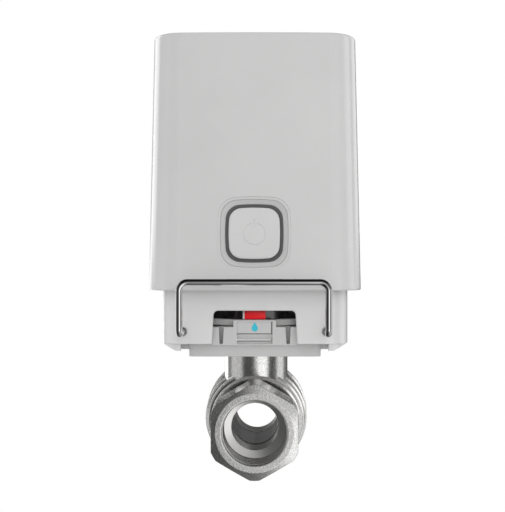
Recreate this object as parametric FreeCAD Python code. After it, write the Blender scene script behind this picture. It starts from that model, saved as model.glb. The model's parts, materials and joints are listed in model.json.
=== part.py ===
"""Motorised ball valve: a battery-powered actuator that clips onto a small brass ball valve.

Millimetres, +Z up. The origin is the centre of the ball, where the bore axis (Y) meets the stem axis (Z).
The front of the actuator, with its button and indicator window, faces -Y.
"""
import FreeCAD, Part
import math
import os
from FreeCAD import Vector as V, Rotation, Placement

# ---------------------------------------------------------------- driving dimensions: valve
VALVE_HALF = 29.0            # half the end-to-end length
HEX_FLATS = 25.0             # across flats of both pipe ends
HEX_LENGTH = 13.4
HEX_CHAMFER_DEG = 18.0       # from the end face
HEX_CORNER_R = 13.7          # the hexagon's corners are turned down to this radius
FACE_R = 11.3                # outer radius of the flat ring on each end face
THREAD_R = 9.3155            # G1/2 internal thread, minor radius
THREAD_LEAD_IN = 0.15
THREAD_DEPTH = 9.8
PORT_R = 7.0
PORT_CONE = 0.75             # length of the shallow cone from thread to port
NECK_R = 11.6                # round waist between hexagon and barrel
DISC_R = 13.8                # thin disc behind the neck
SHOULDER_R = 15.0
BARREL_R = 15.85
BARREL_BACK = 9.8            # the barrel's rear end, where the end connector enters
COLLAR_R = 16.3              # wrench collar on the end connector
FLAT_APOTHEM = 15.3          # of the two wrench flats on barrel and collar
FLAT_SLOPE_DEG = 22.0        # how far below the horizontal the flats face
COLLAR_LENGTH = 4.2
BALL_R = 11.0
CAVITY_R = 11.3
SEAT_R = 9.6
SEAT_LENGTH = 3.4
SEAT_BORE_GAP = 0.15         # the seats stand back from the port by this
SPIGOT_R = 13.0
SPIGOT_FRONT = 6.4
RUN_GAP = 0.05               # radial running clearance

# stem tower
TOWER_R = 9.9
TOWER_TOP = 21.2
TOWER_SPIGOT_R = 8.5
TOWER_SPIGOT_TOP = 27.4
STEM_R = 4.0
STEM_FLANGE_R = 4.9
PACKING_R = 5.6
SQUARE = 6.0

# ---------------------------------------------------------------- driving dimensions: adapter
PLATE_HALF_X = 19.25
PLATE_HALF_Y = 23.0
PLATE_TOP = 25.0
EAR_HALF_X = 22.1
EAR_BOTTOM = 23.15
EAR_TOP = 29.4
TAB_TOP = 31.9
TAB_HALF_X = 6.2
TAB_FRONT = -24.6
TAB_BACK = -20.6
PANEL_HALF = 5.1             # recessed panel in the tab
SHOULDER_HALF_X = 12.4
SHOULDER_TOP = 29.9
NUT_POCKET_R = 13.4
NUT_CORNER_R = 11.6
NUT_HEIGHT = 2.6

# ---------------------------------------------------------------- driving dimensions: actuator
CASING_BOTTOM = 40.6
CASING_TOP = 113.95
CASING_HALF_BOTTOM = 31.3
CASING_HALF_TOP = 29.7
CASING_CORNER = 9.2
CASING_BOW_R = 620.0         # radius of the slight bow in each casing wall, in plan
CASING_WALL = 2.0
BASE_HALF = 27.1
BASE_CORNER = 6.5
BASE_PAD_HALF = 22.7
BASE_PAD_FRONT = 25.3
BASE_PAD_BOTTOM = 23.1
BASE_EDGE_Z = 25.2
BASE_TOP = 44.0
BASE_WALL = 2.0
DECK_BOTTOM = 36.6
DECK_TOP = 38.6
WINDOW_HALF_TOP = 11.7
WINDOW_HALF_BOTTOM = 12.4
WINDOW_BOTTOM = 23.0
WINDOW_TOP = 34.75
WINDOW_CORNER = 1.3
WINDOW_LIP = 0.35            # chamfer round the window
CLIP_X = 20.7
CLIP_Z = 28.7
CLIP_R = 0.95
CLIP_FOOT_R = 1.5            # bend radii of the wire
CLIP_SHOULDER_R = 2.4
CLIP_FRONT = -35.6
CLIP_TOP = 43.1
CLIP_TIP = 23.2
BUTTON_Z = 56.8
BUTTON_HALF = 7.3
SEAL_HALF = 8.25
RING_HALF = 9.65
RECESS_HALF = 10.5

# drive
DRUM_R = 19.0
DRUM_BOTTOM = 31.9
DRUM_TOP = 36.0
COUPLER_R = 18.4
COUPLER_BOTTOM = 29.7
COUPLER_TOP = 31.7
LUG_X = 8.6                  # the two lugs that drive the coupler
LUG_HALF_X = 1.8
LUG_HALF_Y = 2.2
LUG_TOP = 34.0
MAGNET_PCR = 9.2             # distance of the magnet from the output axis
SENSOR_TOP = 46.0
SHAFT_R = 4.0
AXLE_R = 1.0
SPACER_R = 1.4
PLATE2_BOTTOM = 54.0         # gearbox top plate
PLATE2_TOP = 56.0
PLATE2_HALF = 23.0
PRESSURE_ANGLE = math.radians(20)
PINION_TEETH = 12
PINION_ADDENDUM = 0.95       # in modules; the wheels are stubbed so that a 12-tooth pinion needs no undercut
WHEEL_ADDENDUM = 0.72
DEDENDUM = 1.2
BACKLASH = 0.09              # tooth thinning per gear, in millimetres at the pitch circle

# motor
MOTOR_R = 6.0
MOTOR_FLAT = 5.0             # half the width across the motor's flats
MOTOR_TOP = PLATE2_TOP + 14.0
MOTOR_SCREW_X = 4.5

# batteries
CELL_R = 8.5
CELL_LENGTH = 34.5
CELL_BOTTOM = 74.4
CELL_PITCH = 17.8
CELL_CENTRE_Y = 4.0
TRAY_FLOOR = 71.6
TRAY_TOP = 97.0
TRAY_HALF_X = 19.4
TRAY_HALF_Y = 19.4

OUT = "parts"
X_AXIS, Y_AXIS, Z_AXIS = V(1, 0, 0), V(0, 1, 0), V(0, 0, 1)


# ---------------------------------------------------------------- shape helpers
def box(x0, x1, y0, y1, z0, z1):
    return Part.makeBox(x1 - x0, y1 - y0, z1 - z0, V(x0, y0, z0))


def cyl(r, z0, z1, x=0.0, y=0.0):
    return Part.makeCylinder(r, z1 - z0, V(x, y, z0), Z_AXIS)


def cyl_y(r, y0, y1, x=0.0, z=0.0):
    return Part.makeCylinder(r, y1 - y0, V(x, y0, z), Y_AXIS)


def ring(r_out, r_in, z0, z1, x=0.0, y=0.0):
    return cyl(r_out, z0, z1, x, y).cut(cyl(r_in, z0 - 1, z1 + 1, x, y))


def turned(profile):
    """Revolves a closed outline of (y, radius) points about the bore axis."""
    points = [V(0, y, r) for y, r in profile]
    face = Part.Face(Part.makePolygon(points + points[:1]))
    return face.revolve(V(0, 0, 0), Y_AXIS, 360)


def turned_z(profile):
    """Revolves a closed outline of (radius, z) points about the stem axis."""
    points = [V(r, 0, z) for r, z in profile]
    face = Part.Face(Part.makePolygon(points + points[:1]))
    return face.revolve(V(0, 0, 0), Z_AXIS, 360)


def polygon_prism_y(sides, across_flats, y0, y1, first_corner_deg):
    """A regular prism along Y. first_corner_deg is measured from +X towards +Z."""
    r = across_flats / 2 / math.cos(math.pi / sides)
    corners = []
    for i in range(sides):
        a = math.radians(first_corner_deg) + 2 * math.pi * i / sides
        corners.append(V(r * math.cos(a), y0, r * math.sin(a)))
    return Part.Face(Part.makePolygon(corners + corners[:1])).extrude(V(0, y1 - y0, 0))


def rounded_wire(half_x, half_y, r, z):
    """A rounded rectangle of straight sides and quarter arcs, centred on the stem axis."""
    edges = []
    cx, cy = half_x - r, half_y - r
    centres = [(cx, cy), (-cx, cy), (-cx, -cy), (cx, -cy)]
    ends = []
    for i, (cx, cy) in enumerate(centres):
        start, mid, end = (V(cx + r * math.cos(a), cy + r * math.sin(a), z)
                           for a in (math.pi / 2 * i, math.pi / 2 * (i + 0.5), math.pi / 2 * (i + 1)))
        ends.append((start, Part.Arc(start, mid, end).toShape(), end))
    for i, (start, arc, end) in enumerate(ends):
        edges.append(arc)
        edges.append(Part.makeLine(end, ends[(i + 1) % 4][0]))
    return Part.Wire(edges)


def rounded_box(half_x, half_y, r, z0, z1):
    return Part.Face(rounded_wire(half_x, half_y, r, z0)).extrude(V(0, 0, z1 - z0))


def bowed_wire(half, r, bow_r, z):
    """A square outline with slightly bowed sides of radius bow_r and tangent corner arcs of radius r."""
    k = bow_r - half
    c = (-k + math.sqrt(2 * (bow_r - r) ** 2 - k ** 2)) / 2
    s = bow_r / (bow_r - r)
    side, near = c * s, (c + k) * s - k          # where a side's arc meets a corner arc
    diagonal = c + r / math.sqrt(2)
    edges = []
    for i in range(4):
        turn = Rotation(Z_AXIS, 90 * i)
        p = [turn.multVec(V(x, y, 0)) + V(0, 0, z)
             for x, y in ((-side, -near), (0, -half), (side, -near), (diagonal, -diagonal), (near, -side))]
        edges.append(Part.Arc(p[0], p[1], p[2]).toShape())
        edges.append(Part.Arc(p[2], p[3], p[4]).toShape())
    return Part.Wire(edges)


def bowed_prism(half, r, bow_r, z0, z1):
    return Part.Face(bowed_wire(half, r, bow_r, z0)).extrude(V(0, 0, z1 - z0))


def fuse_all(shapes):
    first, *rest = shapes
    return first.multiFuse(rest).removeSplitter() if rest else first


def prism_y(points, y0, y1):
    """A prism along Y from an outline of (x, z) points."""
    corners = [V(x, y0, z) for x, z in points]
    return Part.Face(Part.makePolygon(corners + corners[:1])).extrude(V(0, y1 - y0, 0))


def cut_all(shape, tools):
    for tool in tools:
        shape = shape.cut(tool)
    return shape


def edges_at_z(shape, z, tol=1e-3):
    return [e for e in shape.Edges if abs(e.BoundBox.ZMin - z) < tol and abs(e.BoundBox.ZMax - z) < tol]


def edges_at_y(shape, y, tol=1e-3):
    return [e for e in shape.Edges if abs(e.BoundBox.YMin - y) < tol and abs(e.BoundBox.YMax - y) < tol]


def save(name, *solids):
    """Writes one node. Several solids in one node are identical pieces, such as screws."""
    found = [s for shape in solids for s in shape.Solids]
    shape = found[0] if len(found) == 1 else Part.makeCompound(found)
    if not shape.isValid():
        raise ValueError(name + " is not a valid shape")
    shape.exportStep(os.path.join(OUT, name + ".step"))


# ---------------------------------------------------------------- valve
def hex_end(sign):
    """One hexagonal pipe end with its corners turned down and a chamfer round the end face."""
    y_out, y_in = sign * VALVE_HALF, sign * (VALVE_HALF - HEX_LENGTH)
    prism = polygon_prism_y(6, HEX_FLATS, min(y_out, y_in), max(y_out, y_in), 30)
    chamfer = (HEX_CORNER_R - FACE_R) * math.tan(math.radians(HEX_CHAMFER_DEG))
    back_chamfer = chamfer * 0.6
    envelope = turned([(y_out, 0), (y_out, FACE_R), (y_out - sign * chamfer, HEX_CORNER_R),
                       (y_in + sign * back_chamfer, HEX_CORNER_R), (y_in, NECK_R + 0.6), (y_in, 0)])
    return prism.common(envelope)


def thread_bore(sign):
    """The space inside one pipe end: a plain wall at the thread's minor radius, then the cone to the port."""
    mouth, end = VALVE_HALF, VALVE_HALF - THREAD_DEPTH
    points = [(mouth + 1, 0), (mouth + 1, THREAD_R + THREAD_LEAD_IN + 1), (mouth - THREAD_LEAD_IN, THREAD_R),
              (end, THREAD_R), (end - PORT_CONE, PORT_R), (end - PORT_CONE, 0)]
    return turned([(sign * y, r) for y, r in points])


def wrench_flats(y0, y1):
    """Cutters for the two flats on the lower flanks of barrel and collar."""
    tools = []
    for side in (1, -1):
        tool = box(FLAT_APOTHEM, FLAT_APOTHEM + 5, y0, y1, -12, 12)
        tool.rotate(V(0, 0, 0), Y_AXIS, FLAT_SLOPE_DEG if side > 0 else 180 - FLAT_SLOPE_DEG)
        tools.append(tool)
    return tools


def valve_body():
    hex_in = -(VALVE_HALF - HEX_LENGTH)
    barrel = turned([(hex_in - 0.5, 0), (hex_in - 0.5, NECK_R), (-10.8, NECK_R),
                     (-10.8, DISC_R - 0.6), (-10.2, DISC_R), (-8.9, DISC_R), (-8.5, DISC_R - 0.4),
                     (-8.5, DISC_R - 0.9), (-8.0, DISC_R - 0.9), (-7.6, SHOULDER_R - 0.6),
                     (-7.0, SHOULDER_R), (-5.0, SHOULDER_R), (-4.5, SHOULDER_R - 0.5),
                     (-4.2, SHOULDER_R - 0.9), (-3.6, SHOULDER_R - 0.9), (-3.2, BARREL_R - 0.6),
                     (-2.6, BARREL_R), (BARREL_BACK - 0.5, BARREL_R), (BARREL_BACK, BARREL_R - 0.5),
                     (BARREL_BACK, 0)])
    barrel = cut_all(barrel, wrench_flats(-2.2, BARREL_BACK + 1))
    tower = cyl(TOWER_R, 6.0, TOWER_TOP)
    spigot = cyl(TOWER_SPIGOT_R, TOWER_TOP - 1, TOWER_SPIGOT_TOP)
    body = fuse_all([hex_end(-1), barrel, tower, spigot])
    spigot_seat = SPIGOT_FRONT - 1.1
    cavity = turned([(-11.0, 0), (-11.0, SEAT_R), (-8.0, SEAT_R), (-8.0, CAVITY_R),
                     (spigot_seat, CAVITY_R), (spigot_seat, SPIGOT_R + RUN_GAP),
                     (BARREL_BACK + 1, SPIGOT_R + RUN_GAP), (BARREL_BACK + 1, 0)])
    stem_way = [cyl(STEM_FLANGE_R + 0.2, 0, 13.2), cyl(STEM_R + RUN_GAP, 0, 40),
                cyl(PACKING_R, 15.0, 19.0), cyl(6.5, 22.6, 40)]
    return cut_all(body, [thread_bore(-1), cyl_y(PORT_R, -20, 0), cavity] + stem_way)


def end_connector():
    hex_in = VALVE_HALF - HEX_LENGTH
    collar_front = BARREL_BACK + 0.2
    collar_back = collar_front + COLLAR_LENGTH
    spigot = cyl_y(SPIGOT_R, SPIGOT_FRONT, BARREL_BACK + 0.3)
    collar = turned([(collar_front, 0), (collar_front, COLLAR_R - 0.7), (collar_front + 0.7, COLLAR_R),
                     (collar_back - 0.9, COLLAR_R), (collar_back, COLLAR_R - 1.2), (collar_back, 0)])
    collar = cut_all(collar, wrench_flats(0, collar_back + 1))
    neck = cyl_y(NECK_R, collar_back - 0.2, hex_in + 0.4)
    shape = fuse_all([spigot, collar, neck, hex_end(1)])
    seat_pocket = cyl_y(SEAT_R, SPIGOT_FRONT - 1, 11.0)
    ball_room = Part.makeSphere(CAVITY_R)
    return cut_all(shape, [thread_bore(1), cyl_y(PORT_R, 0, 20), seat_pocket, ball_room])


def valve_ball():
    ball = Part.makeSphere(BALL_R).cut(cyl_y(PORT_R, -BALL_R, BALL_R))
    slot = box(-1.55, 1.55, -5.2, 5.2, 8.6, BALL_R + 1)
    return ball.cut(slot)


def ball_seats():
    pair = []
    for y0, y1 in ((-11.0, -11.0 + SEAT_LENGTH), (11.0 - SEAT_LENGTH, 11.0)):
        seat = cyl_y(SEAT_R, y0, y1).cut(cyl_y(PORT_R + SEAT_BORE_GAP, y0 - 1, y1 + 1))
        pair.append(seat.cut(Part.makeSphere(BALL_R + 0.01)))
    return pair


def valve_stem():
    tongue = box(-1.5, 1.5, -5.0, 5.0, 8.9, 11.2)
    flange = cyl(STEM_FLANGE_R, 11.1, 13.1)
    tongue = tongue.common(cyl(STEM_FLANGE_R, 8, 12))
    shaft = cyl(STEM_R, 13.0, 27.6)
    square = box(-SQUARE / 2, SQUARE / 2, -SQUARE / 2, SQUARE / 2, 27.4, COUPLER_TOP - 0.3)
    stem = fuse_all([tongue, flange, shaft, square.common(cyl(STEM_R, 27, 33))])
    return stem.cut(cyl(1.5, 24.5, 40))


def stem_seals():
    """Two O-rings in the tower's packing chamber."""
    return [Part.makeTorus(STEM_R + 0.78, 0.75, V(0, 0, z), Z_AXIS) for z in (15.8, 18.2)]


def gland_nut():
    nut = ring(6.45, STEM_R + RUN_GAP, 22.6, 26.8)
    slots = box(-7, 7, -0.8, 0.8, 25.6, 28)
    return nut.cut(slots)


def body_gasket():
    return [cyl_y(SPIGOT_R - 0.1, SPIGOT_FRONT - 1.0, SPIGOT_FRONT - 0.1).cut(cyl_y(CAVITY_R + 0.1, 0, 9))]


# ---------------------------------------------------------------- adapter between valve and actuator
def shoulder_slots():
    """Tapered slots, wider at the top, that set the outer posts apart from the shoulders."""
    outline = [(9.25, PLATE_TOP), (10.15, PLATE_TOP), (10.45, SHOULDER_TOP + 1), (8.85, SHOULDER_TOP + 1)]
    return [prism_y([(s * x, z) for x, z in outline], TAB_FRONT - 1, TAB_BACK - 0.7) for s in (-1, 1)]


def tab_panel():
    """The tab's stepped recess, with a thin shadow groove under each step and up its right side."""
    front, p = TAB_FRONT - 1, PANEL_HALF
    return [box(-p, p, front, TAB_FRONT + 0.35, 28.0, TAB_TOP - 0.5),
            box(-p, p, front, TAB_FRONT + 0.9, 26.6, 28.01),
            box(-p, p, front, TAB_FRONT + 1.9, 27.8, 28.02),
            box(-p, p, front, TAB_FRONT + 0.7, PLATE_TOP, 25.9),
            box(-p, p, front, TAB_FRONT + 1.7, 25.7, 25.92),
            box(p - 0.3, p, front, TAB_FRONT + 1.7, 27.9, TAB_TOP - 0.5),
            box(p - 0.3, p, front, TAB_FRONT + 0.9, 26.0, 27.9)]


def valve_adapter():
    plate = rounded_box(PLATE_HALF_X, PLATE_HALF_Y, 1.6, TOWER_TOP, PLATE_TOP)
    ears = rounded_box(EAR_HALF_X, 21.0, 2.0, EAR_BOTTOM, EAR_TOP)
    tab = box(-TAB_HALF_X, TAB_HALF_X, TAB_FRONT, TAB_BACK, PLATE_TOP - 0.4, TAB_TOP)
    shoulders = box(-SHOULDER_HALF_X, SHOULDER_HALF_X, TAB_FRONT, TAB_BACK, PLATE_TOP - 0.4, SHOULDER_TOP)
    shape = fuse_all([plate, ears, tab, shoulders])
    clip_ways = [cyl_y(CLIP_R + 0.15, -30, 30, s * CLIP_X, CLIP_Z) for s in (-1, 1)]
    well = [cyl(NUT_POCKET_R, PLATE_TOP, 40), cyl(TOWER_SPIGOT_R + 0.05, 0, 40)]
    return cut_all(shape, clip_ways + shoulder_slots() + tab_panel() + well)


def adapter_nut():
    """Flat hexagon nut on the tower's spigot, holding the adapter down."""
    corners = [V(NUT_CORNER_R, 0, PLATE_TOP)]
    for i in range(1, 6):
        corners.append(Rotation(Z_AXIS, 60 * i).multVec(corners[0]))
    nut = Part.Face(Part.makePolygon(corners + corners[:1])).extrude(V(0, 0, NUT_HEIGHT))
    low, high, turned_r = PLATE_TOP, PLATE_TOP + NUT_HEIGHT, NUT_CORNER_R - 0.2
    turned_down = turned_z([(0, low), (turned_r - 0.8, low), (turned_r, low + 0.5), (turned_r, high - 0.5),
                            (turned_r - 0.8, high), (0, high)])
    return nut.common(turned_down).cut(cyl(TOWER_SPIGOT_R + 0.03, 20, 30))


def drop_mark():
    """Raised water-drop mark on the tab: a round belly and two tangent sides up to the point."""
    r, tip, y = 0.88, 1.75, TAB_FRONT + 0.35
    centre_z = 29.5
    lean = math.acos(r / tip)
    right = V(r * math.sin(lean), y, centre_z + r * math.cos(lean))
    left = V(-right.x, y, right.z)
    point = V(0, y, centre_z + tip)
    belly = Part.Arc(left, V(0, y, centre_z - r), right).toShape()
    wire = Part.Wire([Part.makeLine(point, left), belly, Part.makeLine(right, point)])
    return Part.Face(wire).extrude(V(0, -0.12, 0))


# ---------------------------------------------------------------- gear train layout
def polar(origin, distance, degrees):
    a = math.radians(degrees)
    return origin[0] + distance * math.cos(a), origin[1] + distance * math.sin(a)


# Each stage: the pinion's module, the teeth of the wheel it meets, and the levels of that mesh.
STAGES = [
    {"module": 0.7, "wheel": 36, "z0": 39.6, "z1": 43.4, "direction": 45},
    {"module": 0.6, "wheel": 32, "z0": 44.0, "z1": 46.8, "direction": -78},
    {"module": 0.5, "wheel": 40, "z0": 47.4, "z1": 49.7, "direction": -110},
    {"module": 0.4, "wheel": 48, "z0": 50.3, "z1": 52.3, "direction": 180},
]


def lay_out_train():
    """Axis places from the output shaft to the motor, and the angle that makes each gear mesh at rest."""
    axes, wheel_phase, pinion_phase = [(0.0, 0.0)], [0.0], [0.0]
    for stage in STAGES:
        theta = stage["direction"]
        centre_distance = stage["module"] * (stage["wheel"] + PINION_TEETH) / 2
        axes.append(polar(axes[-1], centre_distance, theta))
        wheel_pitch, pinion_pitch = 360 / stage["wheel"], 360 / PINION_TEETH
        u = ((theta - wheel_phase[-1]) / wheel_pitch) % 1
        phase = theta + 180 - (0.5 - u) * pinion_pitch
        pinion_phase.append(phase)
        wheel_phase.append(phase)
    return axes, wheel_phase, pinion_phase


AXES, WHEEL_PHASE, PINION_PHASE = lay_out_train()
MOTOR_X, MOTOR_Y = AXES[4]


def involute(a):
    return math.tan(a) - a


def gear(module, teeth, addendum, z0, z1, centre, phase_deg):
    """A spur gear: involute flanks, teeth thinned for backlash, radial flanks below the base circle."""
    pitch_r = module * teeth / 2
    base_r = pitch_r * math.cos(PRESSURE_ANGLE)
    tip_r = pitch_r + addendum * module
    root_r = pitch_r - DEDENDUM * module
    half_angle = math.pi / 2 / teeth - BACKLASH / 2 / pitch_r
    samples = 5

    def flank_angle(r):
        pressure = math.acos(min(1.0, base_r / r))
        return half_angle + involute(PRESSURE_ANGLE) - involute(pressure)

    start_r = max(base_r, root_r)
    radii = [start_r + (tip_r - start_r) * i / samples for i in range(samples + 1)]
    outline = []
    for tooth in range(teeth):
        axis = math.radians(phase_deg) + 2 * math.pi * tooth / teeth
        rising = [(root_r, axis - flank_angle(start_r))] + [(r, axis - flank_angle(r)) for r in radii]
        falling = [(r, 2 * axis - a) for r, a in reversed(rising)]
        outline += rising + falling
    points = [V(centre[0] + r * math.cos(a), centre[1] + r * math.sin(a), z0) for r, a in outline]
    return Part.Face(Part.makePolygon(points + points[:1])).extrude(V(0, 0, z1 - z0))


def wheel_of(stage_index, phase):
    stage = STAGES[stage_index]
    return gear(stage["module"], stage["wheel"], WHEEL_ADDENDUM, stage["z0"], stage["z1"],
                AXES[stage_index], phase)


def pinion_of(stage_index, phase, z1):
    stage = STAGES[stage_index]
    return gear(stage["module"], PINION_TEETH, PINION_ADDENDUM, stage["z0"], z1, AXES[stage_index + 1], phase)


def lightening_pocket(stage_index, rim, hub):
    """Shallow annular recess in the top face of a wheel."""
    stage = STAGES[stage_index]
    root = stage["module"] * (stage["wheel"] / 2 - DEDENDUM)
    x, y = AXES[stage_index]
    return ring(root - rim, hub, stage["z1"] - 0.7, stage["z1"] + 1, x, y)


def output_gear():
    wheel = wheel_of(0, WHEEL_PHASE[0])
    hub = cyl(6.0, STAGES[0]["z0"] - 0.5, STAGES[0]["z0"] + 0.1)
    shape = fuse_all([wheel, hub]).cut(lightening_pocket(0, 1.6, 6.4))
    return cut_all(shape, [cyl(SHAFT_R, 30, 60), cyl(1.5, 40.6, 60, -MAGNET_PCR, 0)])


def compound_gear(i):
    """Gear i from the output: its pinion drives the wheel before it; its wheel is the next stage's."""
    x, y = AXES[i]
    top = STAGES[i]["z1"]
    pinion = pinion_of(i - 1, PINION_PHASE[i], STAGES[i]["z0"] + 0.1)
    shape = fuse_all([pinion, wheel_of(i, WHEEL_PHASE[i])]).cut(lightening_pocket(i, 1.2, 3.2))
    hub = cyl(2.2, top - 0.1, top + 0.35, x, y)
    return shape.fuse(hub).cut(cyl(AXLE_R + RUN_GAP, 30, 60, x, y))


def gear_axles():
    """Each axle stands in the deck and runs up into the top plate."""
    return [cyl(AXLE_R, DECK_TOP - 1.6, PLATE2_BOTTOM + 1.5, *AXES[i]) for i in (1, 2, 3)]


def axle_spacers():
    """Plain sleeves that hold each compound gear at its level on its axle."""
    spacers = []
    for i in (1, 2, 3):
        bottom, top = STAGES[i - 1]["z0"] - 0.08, STAGES[i]["z1"] + 0.43
        if bottom - DECK_TOP > 0.3:
            spacers.append(ring(SPACER_R, AXLE_R, DECK_TOP, bottom, *AXES[i]))
        spacers.append(ring(SPACER_R, AXLE_R, top, PLATE2_BOTTOM, *AXES[i]))
    return spacers


# ---------------------------------------------------------------- output shaft, coupling and indicator
def output_shaft():
    shaft = cyl(SHAFT_R, DRUM_TOP - 1.2, 44.6)
    groove = ring(SHAFT_R + 1, SHAFT_R - 0.5, 43.6, 44.1)
    return shaft.cut(groove)


def shaft_clip():
    """Snap ring in the output shaft's groove, above the output gear."""
    snap_ring = ring(5.6, SHAFT_R - 0.45, 43.62, 44.08)
    return snap_ring.cut(box(-1.4, 1.4, -7, 0, 43, 45))


def output_bush():
    sleeve = ring(5.6, SHAFT_R + RUN_GAP, DECK_BOTTOM - 0.4, DECK_TOP)
    return sleeve.fuse(ring(7.2, SHAFT_R + RUN_GAP, DECK_TOP, DECK_TOP + 0.4)).removeSplitter()


def drive_lugs(gap):
    half_x, half_y = LUG_HALF_X + gap, LUG_HALF_Y + gap
    return [box(s * LUG_X - half_x, s * LUG_X + half_x, -half_y, half_y, COUPLER_TOP - 0.1, LUG_TOP + gap)
            for s in (-1, 1)]


def stem_coupler():
    disc = cyl(COUPLER_R, COUPLER_BOTTOM, COUPLER_TOP)
    disc = disc.makeFillet(0.4, [e for e in disc.Edges if e.BoundBox.ZLength < 1e-6])
    square = box(-SQUARE / 2, SQUARE / 2, -SQUARE / 2, SQUARE / 2, 20, 40).common(cyl(STEM_R, 20, 40))
    return fuse_all([disc] + drive_lugs(0)).cut(square)


def coupler_screw():
    head = cyl(3.6, COUPLER_TOP, COUPLER_TOP + 1.5)
    shank = cyl(1.48, 25.0, COUPLER_TOP + 0.1)
    slot_z = COUPLER_TOP + 0.8
    cross = [box(-1.6, 1.6, -0.35, 0.35, slot_z, 35), box(-0.35, 0.35, -1.6, 1.6, slot_z, 35)]
    return cut_all(head.fuse(shank), cross)


MARK_HALF_DEG = 9.3
MARK_DEPTH = 1.2
BORDER_HALF_DEG = 0.8


def drum_sector(a0_deg, a1_deg, inner, outer, z0, z1):
    """A stretch of the drum's rim between two angles, measured from +X towards +Y."""
    a0, a1 = math.radians(a0_deg), math.radians(a1_deg)
    mid = (a0 + a1) / 2
    p = [V(r * math.cos(a), r * math.sin(a), z0) for r, a in
         ((outer, a0), (outer, mid), (outer, a1), (inner, a1), (inner, mid), (inner, a0))]
    wire = Part.Wire([Part.Arc(p[0], p[1], p[2]).toShape(), Part.makeLine(p[2], p[3]),
                      Part.Arc(p[3], p[4], p[5]).toShape(), Part.makeLine(p[5], p[0])])
    return Part.Face(wire).extrude(V(0, 0, z1 - z0))


def mark_pockets():
    """Rim pockets: red faces front when open, white comes to the front when the valve has closed."""
    inner, outer, top = DRUM_R - MARK_DEPTH, DRUM_R + 0.15, DRUM_TOP - 0.3
    front = -90.0
    red = drum_sector(front - MARK_HALF_DEG, front + MARK_HALF_DEG, inner, outer, DRUM_BOTTOM, top)
    border_mid = front - MARK_HALF_DEG - BORDER_HALF_DEG - 0.1
    border = drum_sector(border_mid - BORDER_HALF_DEG, border_mid + BORDER_HALF_DEG, inner, outer,
                         DRUM_BOTTOM, top)
    white = drum_sector(-MARK_HALF_DEG, MARK_HALF_DEG, inner, outer, DRUM_BOTTOM, top)
    return red, border, white


def indicator_drum():
    drum = cyl(DRUM_R, DRUM_BOTTOM, DRUM_TOP)
    groove = ring(DRUM_R + 1, DRUM_R - 0.35, 33.9, 34.15)
    screw_room = cyl(4.1, 30, DRUM_TOP - 1.2)
    return cut_all(drum, [groove, screw_room, cyl(SHAFT_R, 30, 40)] + list(mark_pockets()) + drive_lugs(0.08))


def sensor_magnet():
    return cyl(1.5, 40.6, STAGES[0]["z1"] - 0.2, -MAGNET_PCR, 0)


# ---------------------------------------------------------------- lower housing and clip
POSTS = [(-20.0, -20.0), (21.0, -20.5), (-20.0, 20.0), (21.5, 21.5)]
POST_R = 2.6


def base_pad():
    """The housing's foot: its two sides slant inwards, and it stands back behind the front wall."""
    half_edge, top = BASE_HALF - 0.2, BASE_EDGE_Z + 0.4
    outline = [(half_edge, top), (half_edge, BASE_EDGE_Z), (BASE_PAD_HALF, BASE_PAD_BOTTOM),
               (-BASE_PAD_HALF, BASE_PAD_BOTTOM), (-half_edge, BASE_EDGE_Z), (-half_edge, top)]
    plan = rounded_box(BASE_HALF - 0.2, BASE_PAD_FRONT, BASE_CORNER - 2, BASE_PAD_BOTTOM, top)
    return prism_y(outline, -BASE_PAD_FRONT, BASE_PAD_FRONT).common(plan)


def window_cutter():
    """The front window, slightly wider at the bottom, with rounded top corners and a chamfered rim."""
    cutters = []
    for lip, back in ((0.0, -20.0), (WINDOW_LIP, -BASE_HALF + WINDOW_LIP)):
        low, high, top = WINDOW_HALF_BOTTOM + lip, WINDOW_HALF_TOP + lip, WINDOW_TOP + lip
        outline = [(-low, WINDOW_BOTTOM), (low, WINDOW_BOTTOM), (high, top), (-high, top)]
        cutter = prism_y(outline, -BASE_HALF - 1, back)
        corners = [e for e in cutter.Edges if e.BoundBox.ZMin > top - 1 and e.BoundBox.YLength > 1]
        cutters.append(cutter.makeFillet(WINDOW_CORNER + lip, corners))
    inner, outer = cutters
    outer = outer.makeChamfer(WINDOW_LIP * 0.99, edges_at_y(outer, -BASE_HALF + WINDOW_LIP))
    return [inner, outer]


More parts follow.
